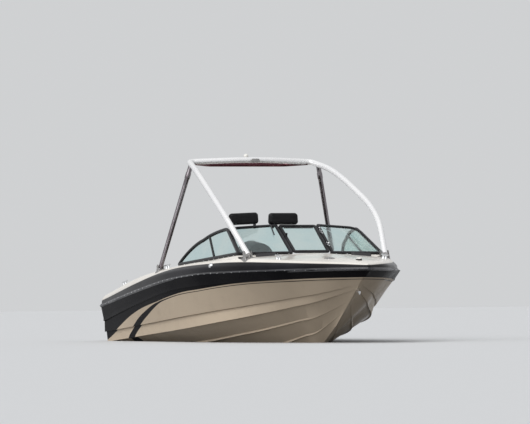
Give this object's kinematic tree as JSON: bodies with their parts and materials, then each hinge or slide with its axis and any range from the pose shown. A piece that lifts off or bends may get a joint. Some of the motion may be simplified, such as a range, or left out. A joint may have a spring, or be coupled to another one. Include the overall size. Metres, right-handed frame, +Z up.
{
  "type": "inboard tow sports boat with tower",
  "caption": "Closed-bow inboard sports boat with a tube tower, raked windshield, open cockpit, tow pylon, propeller and rudder.",
  "frame": {"origin": "where the centreline crosses the transom's plane at the still waterline", "axes": "+X forward along the centreline, +Y to port, +Z up"},
  "size_m": [6.79, 2.39, 2.8871],
  "materials": {
    "hull_gelcoat": "glossy cream gelcoat with a black band above",
    "deck_gelcoat": "glossy cream-white gelcoat, black on the sides",
    "rail_metal": "bright rail with a black insert",
    "sole_carpet": "grey loop carpet",
    "black_plastic": "moulded black plastic",
    "vinyl_light": "cream marine vinyl",
    "vinyl_dark": "black marine vinyl",
    "engine_paint": "satin black enamel",
    "tube_metal": "polished and anodised tube",
    "steel": "polished stainless steel",
    "bronze": "nibral bronze",
    "glass": "pale green safety glass",
    "light_lens": "white translucent lens",
    "teak": "oiled teak slats"
  },
  "bodies": {
    "boat": {"hull": "hull_gelcoat", "deck": "deck_gelcoat", "rub_rail": "rail_metal", "cockpit_sole": "sole_carpet", "engine_block": "engine_paint", "engine_box": "sole_carpet", "bench_base": "hull_gelcoat", "bench_cushion": "vinyl_light", "bench_back": "vinyl_light", "side_pads": "vinyl_light", "driver_seat": "vinyl_light", "observer_seat": "vinyl_light", "seat_bases": "steel", "dash": "vinyl_dark", "steering_column": "black_plastic", "throttle": "black_plastic", "tow_pylon": "steel", "windshield_frame": "black_plastic", "side_glass": "glass", "front_glass": "glass", "tower_hoop": "tube_metal", "tower_rear_bar": "tube_metal", "tower_legs": "tube_metal", "tower_feet": "steel", "top_light": "light_lens", "mirrors": "black_plastic", "mirror_arms": "steel", "wiper": "black_plastic", "cowl_vents": "black_plastic", "cleats": "steel", "bow_light": "steel", "filler_cap": "steel", "bow_eye": "steel", "transom_eyes": "steel", "exhaust_outlets": "steel", "swim_platform": "teak", "platform_brackets": "steel", "shaft_strut": "bronze", "tracking_fins": "bronze", "hinge_lugs": "steel"},
    "screw": {"propeller_shaft": "steel", "propeller": "bronze"},
    "helm": {"steering_wheel": "black_plastic"},
    "rudder_blade": {"rudder": "bronze"},
    "windshield_panel": {"centre_panel": "black_plastic", "centre_glass": "glass", "panel_hinges": "steel"},
    "engine_cover": {"engine_lid": "vinyl_light", "engine_hinges": "steel"},
    "stern_lid": {"locker_lid": "vinyl_light", "locker_hinges": "steel"}
  },
  "joints": [
    {"name": "propeller_turn", "type": "hinge", "parent": "boat", "child": "screw", "pos_m": [0.56, 0, -0.545], "axis": [0.9744, 0, 0.225], "continuous": true},
    {"name": "wheel_turn", "type": "hinge", "parent": "boat", "child": "helm", "pos_m": [3.44, -0.44, 0.77], "axis": [0.9063, 0, -0.4226], "range_deg": [-540, 540]},
    {"name": "rudder_turn", "type": "hinge", "parent": "boat", "child": "rudder_blade", "pos_m": [0.25, 0, -0.5], "axis": [0, 0, 1], "range_deg": [-35, 35]},
    {"name": "panel_swing", "type": "hinge", "parent": "boat", "child": "windshield_panel", "pos_m": [4.4613, 0.2275, 1.0257], "axis": [-0.8429, 0.0138, 0.5378], "range_deg": [0, 150]},
    {"name": "engine_lid_lift", "type": "hinge", "parent": "boat", "child": "engine_cover", "pos_m": [1.793, 0, 0.4], "axis": [0, -1, 0], "range_deg": [0, 75]},
    {"name": "stern_lid_lift", "type": "hinge", "parent": "boat", "child": "stern_lid", "pos_m": [0.637, 0, 0.67073], "axis": [0, 1, 0], "range_deg": [0, 75]}
  ],
  "couplings": [
    {"joint": "rudder_turn", "follows": "wheel_turn", "ratio": 0.064815}
  ]
}
